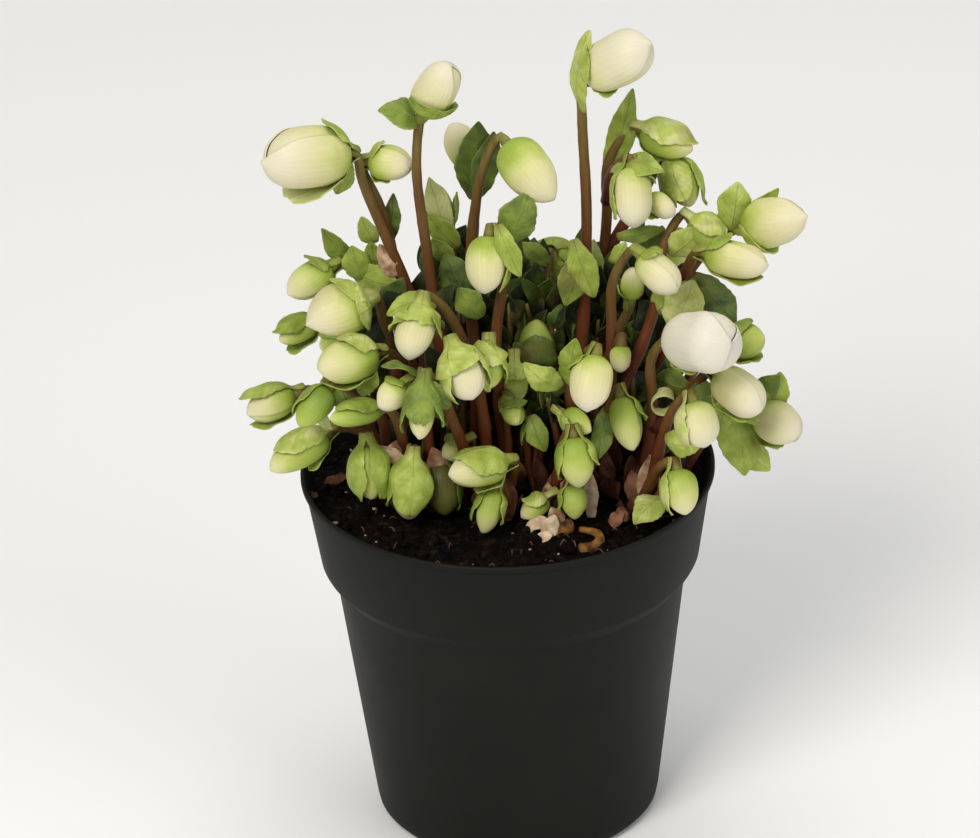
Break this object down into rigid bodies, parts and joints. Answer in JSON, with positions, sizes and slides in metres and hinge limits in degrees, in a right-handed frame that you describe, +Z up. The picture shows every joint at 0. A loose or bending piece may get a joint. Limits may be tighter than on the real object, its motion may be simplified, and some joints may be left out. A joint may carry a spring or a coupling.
{
  "type": "potted christmas rose",
  "caption": "Christmas rose in tight bud: nodding egg-shaped white buds with leafy bracts on red-brown stems, in a tapered dark nursery pot of peat.",
  "frame": {"origin": "middle of the pot's base, on the surface it stands on", "axes": "+Z up along the pot's axis, -Y towards the front, where most buds nod, +X to the right seen from the front"},
  "size_m": [0.1639, 0.1204, 0.2487],
  "materials": {
    "pot": "matte, slightly satin, near black",
    "soil": "moist dark peat with fibres and pale specks",
    "leafy_stem": "living leaf: satin green bracts on red-brown stalks",
    "bud": "cream-white petals, greener at the base, soft sheen"
  },
  "bodies": {
    "root": {"pot": "pot", "soil": "soil", "bud_01": "bud", "bud_02": "bud", "bud_03": "bud", "bud_04": "bud", "bud_05": "bud", "bud_06": "bud", "bud_07": "bud", "bud_08": "bud", "bud_09": "bud", "bud_10": "bud", "bud_11": "bud", "bud_12": "bud", "bud_13": "bud", "bud_14": "bud", "bud_15": "bud", "bud_16": "bud", "bud_17": "bud", "bud_18": "bud", "bud_19": "bud", "bud_20": "bud", "bud_21": "bud", "bud_22": "bud", "bud_23": "bud", "bud_24": "bud", "bud_25": "bud", "bud_26": "bud", "bud_27": "bud", "bud_28": "bud", "bud_29": "bud", "bud_30": "bud", "bud_31": "bud", "bud_32": "bud", "bud_33": "bud", "leafy_stem_01": "leafy_stem", "leafy_stem_02": "leafy_stem", "leafy_stem_03": "leafy_stem", "leafy_stem_04": "leafy_stem", "leafy_stem_05": "leafy_stem", "leafy_stem_06": "leafy_stem", "leafy_stem_07": "leafy_stem", "leafy_stem_08": "leafy_stem", "leafy_stem_09": "leafy_stem", "leafy_stem_10": "leafy_stem", "leafy_stem_11": "leafy_stem", "leafy_stem_12": "leafy_stem", "leafy_stem_13": "leafy_stem", "leafy_stem_14": "leafy_stem", "leafy_stem_15": "leafy_stem", "leafy_stem_16": "leafy_stem", "leafy_stem_17": "leafy_stem", "leafy_stem_18": "leafy_stem", "leafy_stem_19": "leafy_stem", "leafy_stem_20": "leafy_stem"}
  },
  "joints": []
}
